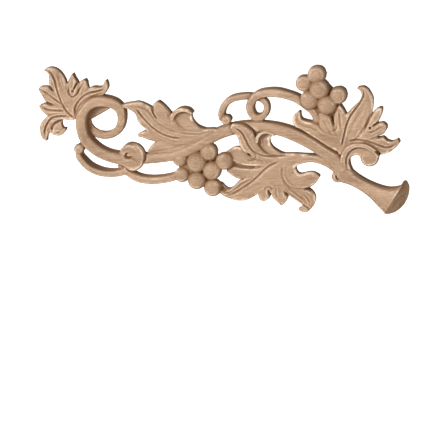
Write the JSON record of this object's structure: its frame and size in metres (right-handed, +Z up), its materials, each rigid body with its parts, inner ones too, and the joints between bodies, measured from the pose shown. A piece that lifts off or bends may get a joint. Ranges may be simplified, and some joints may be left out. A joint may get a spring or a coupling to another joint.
{
  "type": "carved scroll onlay",
  "caption": "Carved wooden appliqué for furniture or panelling: a grape vine with scrolling tendrils, lobed leaves and bunches of grapes in relief on a flat glue face.",
  "frame": {"origin": "on the flat glue face, behind the middle of the vine", "axes": "+X to the right along the carving as seen from its front, +Z up, and +Y out of the glue face, so the carved front looks along -Y"},
  "size_m": [0.3679, 0.0224, 0.1493],
  "materials": {
    "wood": "bare sanded wood, matt, ready for stain or paint"
  },
  "bodies": {
    "root": {"scroll_onlay": "wood"}
  },
  "joints": []
}
